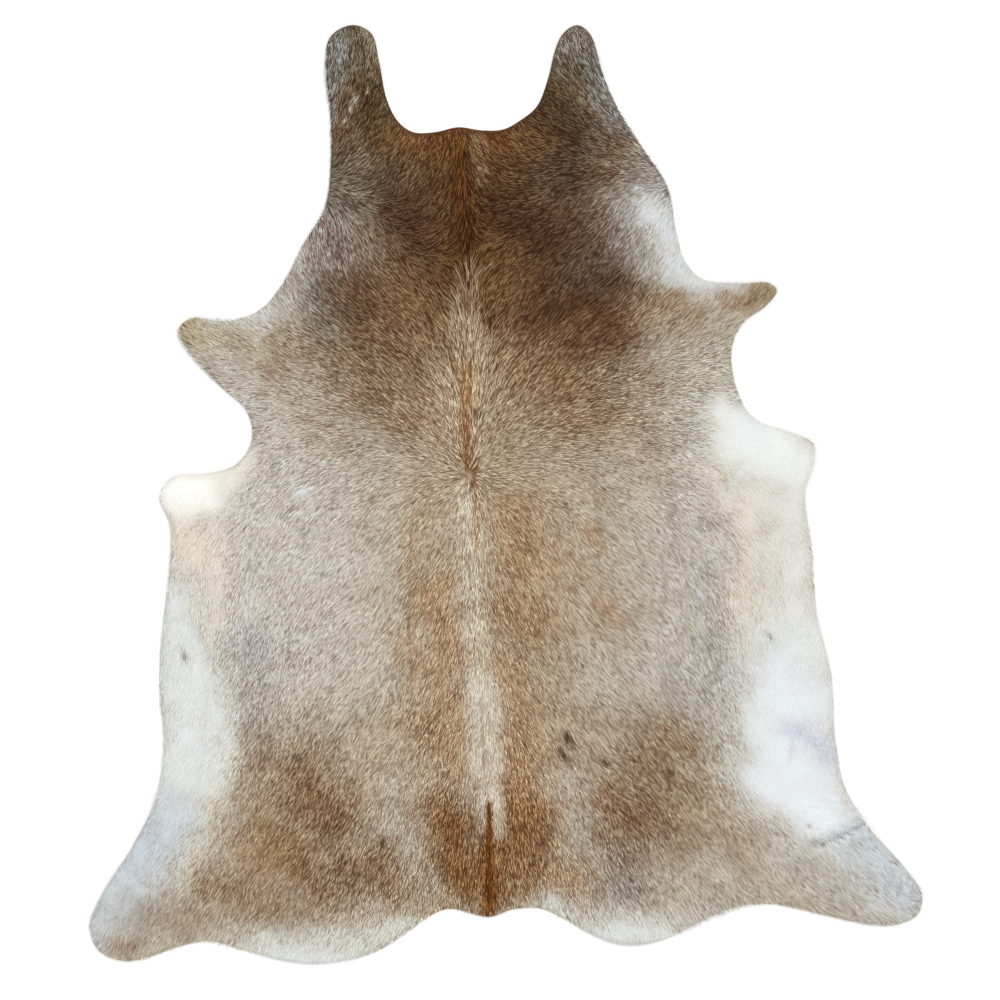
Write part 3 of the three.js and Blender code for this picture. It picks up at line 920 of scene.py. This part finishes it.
# How the shades of the locks differ
shading = {
    "tuft": 0.5,  # share of the tuft's noise
    "single": 0.8,  # of a lock's own
    "strand": 1.1,  # of the strand's in the tuft's, where locks clump
    "level": 0.6,  # off the squared noise
    "clump": 0.5,  # more where locks clump
    "calmest": 0.6,  # the most that calm rows take away
    "limits": (-0.55, 0.65),
    "tint": (0.76, 1.03, 1.22),  # pale locks are whiter and dark ones browner
    "sides": (0.96, 1.06),  # the shaded side and the lit one
    # painted light on the lock's tip, which lies on top of the coat
    "tip": 1.04,
}
# What a lock does by how bright the coat is: white hair lies flat and even, brown hair is lively
byBrightness = {
    "bright": (60, 100, 150, 180, 205, 225, 238),
    "stand": (1.3, 1.25, 1.1, 0.85, 0.5, 0.25, 0.15),
    "contrast": (0.9, 0.7, 0.39, 0.32, 0.11, 0.02, 0.0),
    "skew": (0.15, 0.05, -0.3, -0.45, -0.4, 0, 0),  # above 0 for pale locks on dark, below 0 for dark ones
    # painted shade at the lock's root, which lies under the other locks
    "paintedRootShade": (0.7, 0.73, 0.8, 0.87, 0.95, 0.99, 0.99),
    # painted shade: how much darker the undercoat is than the coat, in the gaps between the locks
    "under": (0.82, 0.83, 0.9, 0.94, 0.97, 0.99, 0.99),
}
# A long strand
strands = {
    "taper": (0.5, 0.9, 1.0, 1.0, 0.9, 0.65, 0.15),  # share of its width at each ring, root to tip
    "rise": (0.2, 1.1, 1.7, 2.0, 2.0, 1.7, 1.2),  # height over the skin
    # painted shade at the strand's root, where it lies low among the locks, and painted light towards its
    # raised tip
    "shade": (0.72, 0.86, 0.96, 1.0, 1.03, 1.05, 1.06),
    "sink": 0.3,
    "thickness": 0.5,
    "scatter": 0.6,  # share of a row's spread
    "lengthSpread": (0.6, 1.15),
    "widthSpread": (0.8, 1.6),
    "shadeSpread": (0.86, 1.1),
    "bend": 7,  # degrees from ring to ring
    "own": 0.75,  # share of the row's colour, and the rest is the coat's
}
# Rows of long strands on top of the coat along the back, which follow its lie
longStrands = [
    # fromX, fromY, toX, toY, spread, count, length, colour
    (-104, 815, -96, 560, 15, 90, 34, "golden"),
    (-104, 800, -94, 545, 13, 170, 36, "chestnut"),
    (-83, 508, -84, 430, 16, 34, 44, "strand"),
    (-86, 430, -86, 310, 32, 110, 40, "strand"),
    (-86, 470, -86, 170, 30, 130, 34, "brown"),
    (-88, 310, -88, 150, 56, 180, 34, "strand"),
    (-90, 270, -86, 60, 15, 150, 34, "russet"),
    (-86, 15, -62, -160, 22, 60, 34, "strand"),
    (-62, -200, -54, -440, 24, 60, 30, "strand"),
    (-50, -450, -40, -650, 30, 110, 30, "strand"),
    (-38, -690, -38, -900, 5, 60, 30, "rust"),
]
coatBands = ["coatNeck", "coatShoulders", "coatBack", "coatLoin", "coatRump"]


def atBrightness(bright, name):
    return np.interp(bright, byBrightness["bright"], byBrightness[name])


def scatterRoots(grid, side, random):
    # Each face of the skin gets locks by its area, spread inside it by an even sequence
    areas = cellAreas(grid).ravel() * 1e-6
    counts = np.floor(areas * hair["perSquareMetre"] + random.random(len(areas))).astype(int)
    cell = np.repeat(np.arange(len(areas)), counts)
    order = np.arange(len(cell)) - np.repeat(np.cumsum(counts) - counts, counts)
    start = random.random((len(areas), 2))[cell]
    evenSteps = np.array((0.7548777, 0.5698403))
    s, t = ((start + order[:, None] * evenSteps) % 1).T
    row, column = np.divmod(cell, grid.shape[1] - 1)

    def inside(values):
        near = values[row, column].T * (1 - t) + values[row, column + 1].T * t
        far = values[row + 1, column].T * (1 - t) + values[row + 1, column + 1].T * t
        return (near * (1 - s) + far * s).T

    return inside(grid), inside(side), row, column


def combed(place, arrow, size, reach, seed):
    # Soft noise averaged along the lie of the hair, so that it runs in strokes
    samples, spread, most = 7, 2.2, 1.5
    steps = np.linspace(-reach, reach, samples)
    total = sum(softNoise(place + arrow * step, size, seed) for step in steps)
    return np.clip(total / spread, -most, most)


def trimAtEdge(root, arrow, length, row, column):
    # A lock near the cut edge passes it by the overhang at most, and one that grows inward starts short
    rows, columns, band = skin["rows"], skin["columns"], hair["edgeBand"]
    close = (row < band) | (row >= rows - band) | (column < band) | (column >= columns - band)
    spots = root[close, :2]
    gaps = np.linalg.norm(spots[:, None] - outlineLoop[None], axis=-1)
    nearest = gaps.argmin(axis=1)
    tangent = np.roll(outlineLoop, -1, axis=0) - np.roll(outlineLoop, 1, axis=0)
    outward = unit(np.stack([-tangent[:, 1], tangent[:, 0]], axis=-1)[nearest])
    facing = (arrow[close] * outward).sum(axis=-1)
    gap = gaps[np.arange(len(spots)), nearest]
    outwardRoom = (gap + hair["overhang"]) / np.maximum(facing, hair["leastFacing"])
    shortest, growth = hair["inward"]
    room = np.where(facing > 0, outwardRoom, shortest + growth * gap)
    length[close] = np.minimum(length[close], room)
    return length


def buildHair(grid, side, material):
    # A lock is a flat closed sliver: root and tip on its centre line, and its two sides about a third along
    random = np.random.default_rng(hair["seed"])
    root, across, row, column = scatterRoots(grid, side, random)
    place = root[:, :2]
    count = len(root)
    sway, size, seed = hair["sway"]
    turn = hair["stray"] * random.normal(size=count) + sway * softNoise(place, size, seed)
    arrow = turned(lieAt(place, across), np.radians(turn))

    reach = hair["colourReach"]
    ground = patchesAt(place + arrow * random.uniform(-reach, reach, count)[:, None])
    bright = withMarks(place, ground).mean(axis=-1)

    clump = amountAt(place, strandy, 1)
    tuft = combed(place, arrow, *hair["tuft"])
    tuft = tuft + shading["strand"] * clump * combed(place, arrow, *hair["strand"])
    single = random.normal(size=count)
    length = hair["length"] * (1 + hair["lengthSpread"] * random.uniform(-1, 1, count))
    length = length * (1 + hair["clumpLonger"] * clump)
    length = trimAtEdge(root, arrow, length, row, column)
    width = hair["width"] * random.uniform(*hair["widthSpread"], count)
    width = width * np.clip(length / hair["fullLength"], 0.5, 1)
    byTuft, bySelf = hair["ruffle"]
    ruffled = (1 + byTuft * tuft + bySelf * single).clip(*hair["ruffleLimits"])
    stand = hair["stand"] * atBrightness(bright, "stand") * ruffled

    flow = np.column_stack([arrow, np.zeros(count)])
    aside = np.column_stack([-arrow[:, 1], arrow[:, 0], np.zeros(count)])
    up = np.array((0.0, 0.0, 1.0))
    base = root - up * hair["sink"]
    alongShare, standShare = hair["shoulder"]
    shoulder = root + flow * (length * alongShare)[:, None] + up * (stand * standShare)[:, None]
    wing = aside * (width / 2)[:, None]
    tip = root + flow * length[:, None] + up * stand[:, None]
    points = np.stack([base, shoulder - wing, shoulder + wing, tip], axis=1)
    points[:, 1:, 2] += liftAt(points[:, 1:, :2]) - liftAt(place)[:, None]

    mixed = shading["tuft"] * tuft + shading["single"] * single
    mixed = mixed + atBrightness(bright, "skew") * (mixed**2 - shading["level"])
    still = amountAt(place, calm, shading["calmest"])
    tone = atBrightness(bright, "contrast") * mixed * (1 + shading["clump"] * clump) * (1 - still)
    tint = 1 + tone.clip(*shading["limits"])[:, None] * np.array(shading["tint"])
    # Painted shade at the root and on one side of each lock, painted light on its other side and at its tip
    shades = (atBrightness(bright, "paintedRootShade"), *shading["sides"], shading["tip"])
    colours = np.stack([
        withMarks(points[:, corner, :2], ground) * tint * np.reshape(shade, (-1, 1))
        for corner, shade in enumerate(shades)
    ], axis=1)

    sliver = np.array([(0, 1, 2), (1, 3, 2), (0, 2, 3), (0, 3, 1)])
    corner = np.array([(0.5, 0.05), (0.9, 0.45), (0.1, 0.45), (0.5, 0.95)])
    bands = np.array_split(np.argsort(-place[:, 1], kind="stable"), len(coatBands))
    return [
        joinedPiece(name, points[band], colours[band], sliver, corner, material)
        for name, band in zip(coatBands, bands)
    ]


def joinedPiece(name, points, colours, faces, corner, material):
    # Many small closed solids alike in one mesh, and each has its own square of the map
    count, each = points.shape[:2]
    joined = (faces[None] + each * np.arange(count)[:, None, None]).reshape(-1, 3)
    piece = newMesh(name, points.reshape(-1, 3) * mm, joined, [material])
    paint(piece, colours.reshape(-1, 3))
    cells = int(np.ceil(np.sqrt(count)))
    cell = np.column_stack(np.divmod(np.arange(count), cells))
    spots = (cell[:, None, :] + corner[None]) / cells
    mapPiece(piece, spots[:, faces.ravel()].reshape(-1, 2))
    print(name + ":", count, "solids,", len(joined), "triangles")
    return piece


def sideAt(grid, place):
    # Side of a place near the back: its distance from the back over half the width of the hide there
    half = (grid.shape[1] - 1) // 2
    backX, backY = grid[::-1, half, 0], grid[::-1, half, 1]
    reach = (grid[::-1, -1, 0] - grid[::-1, 0, 0]) / 2
    away = place[:, 0] - np.interp(place[:, 1], backY, backX)
    return away / np.interp(place[:, 1], backY, reach)


def buildStrands(grid, material):
    # A strand is a three-sided tube along the lie, narrow at both ends, that rises and lies down again
    random = np.random.default_rng(hair["seed"] + 1)
    rings = len(strands["taper"])
    own = strands["own"]
    allPoints, allColours = [], []
    for fromX, fromY, toX, toY, spread, count, length, name in longStrands:
        share = random.random(count)[:, None]
        spot = np.array((fromX, fromY)) * (1 - share) + np.array((toX, toY)) * share
        scatter = spread * random.normal(size=count) * strands["scatter"]
        spot = spot + np.column_stack([scatter, np.zeros(count)])
        step = length * random.uniform(*strands["lengthSpread"], count)[:, None] / (rings - 1)
        bend = np.radians(random.normal(size=count) * strands["bend"])
        wide = random.uniform(*strands["widthSpread"], count)
        shade = random.uniform(*strands["shadeSpread"], count)[:, None]
        named = np.array(coatColours[name], float) * shade * own + coatAt(spot) * (1 - own)
        strand, painted = [], []
        for taper, rise, tone in zip(strands["taper"], strands["rise"], strands["shade"]):
            arrow = turned(lieAt(spot, sideAt(grid, spot)), bend)
            aside = np.stack([-arrow[:, 1], arrow[:, 0]], axis=-1) * (wide * taper / 2)[:, None]
            low = liftAt(spot) + skin["depth"] + rise - strands["sink"]
            high = low + strands["thickness"] * taper
            sides = (spot - aside, low), (spot + aside, low), (spot, high)
            strand += [np.column_stack(side) for side in sides]
            # Each ring's colour: painted shade near the strand's root, painted light towards its tip
            painted += [named * tone] * 3
            spot = spot + arrow * step
        allPoints.append(np.stack(strand, axis=1))
        allColours.append(np.stack(painted, axis=1))
    faces = [(0, 2, 1)]
    for ring in range(rings - 1):
        left, right, top = (3 * ring + number for number in range(3))
        for one, two in ((left, right), (right, top), (top, left)):
            faces += [(one, two, two + 3), (one, two + 3, one + 3)]
    faces.append((3 * rings - 3, 3 * rings - 2, 3 * rings - 1))
    across = np.tile((0.1, 0.9, 0.5), rings)
    corner = np.column_stack([across, np.repeat(np.linspace(0.05, 0.95, rings), 3)])
    points, colours = np.concatenate(allPoints), np.concatenate(allColours)
    return joinedPiece("coatStrands", points, colours, np.array(faces), corner, material)


# The floor, the light and the camera
studio = {
    "floorSide": 40.0,
    "floorDrop": 0.0002,
    "floorColour": (0.9, 0.9, 0.9, 1),
    "world": 0.84,
    "sunEnergy": 1.4,
    "sunAngle": 0.24,
    "sunFrom": (2.2, 2.4, 3.6),
    "cameraHeight": 6.22,
    "cameraPlace": (-0.0134, -0.0134),  # the photograph's middle, seen from the hide's
    "pictureWidth": 2.239,
    "sensor": 36.0,
    "clipEnd": 100.0,
}


def buildStudio():
    half = studio["floorSide"] / 2
    z = -studio["floorDrop"]
    corners = [(-half, -half, z), (half, -half, z), (half, half, z), (-half, half, z)]
    floor = newMesh("floor", corners, [(0, 1, 2, 3)], [newMaterial("floorPaint", floorSurface)])

    world = bpy.data.worlds.new("softRoom")
    world.use_nodes = True
    soft = {"Color": (1.0, 1.0, 1.0, 1), "Strength": studio["world"]}
    Wire(world.node_tree).feed(world.node_tree.nodes["Background"], soft)
    bpy.context.scene.world = world

    lamp = bpy.data.lights.new("key", "SUN")
    lamp.energy = studio["sunEnergy"]
    lamp.angle = studio["sunAngle"]
    key = newObject("key", lamp)
    key.location = studio["sunFrom"]
    key.rotation_mode = "QUATERNION"
    key.rotation_quaternion = key.location.to_track_quat("Z", "Y")

    lens = bpy.data.cameras.new("camera")
    lens.sensor_width = studio["sensor"]
    lens.lens = studio["sensor"] * studio["cameraHeight"] / studio["pictureWidth"]
    lens.clip_end = studio["clipEnd"]
    camera = newObject("camera", lens)
    camera.location = (*studio["cameraPlace"], studio["cameraHeight"])
    bpy.context.scene.camera = camera
    bpy.context.scene.view_settings.view_transform = "Standard"
    print("studio: floor, soft room, sun and camera")


buildStudio()
hideSkin, skinGrid, skinSide = buildSkin()
coat = newMaterial("coatHair", hairSurface)
hairPieces = buildHair(skinGrid, skinSide, coat) + [buildStrands(skinGrid, coat)]

for piece in (hideSkin, *hairPieces):
    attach(piece, "root")
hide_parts("hide")
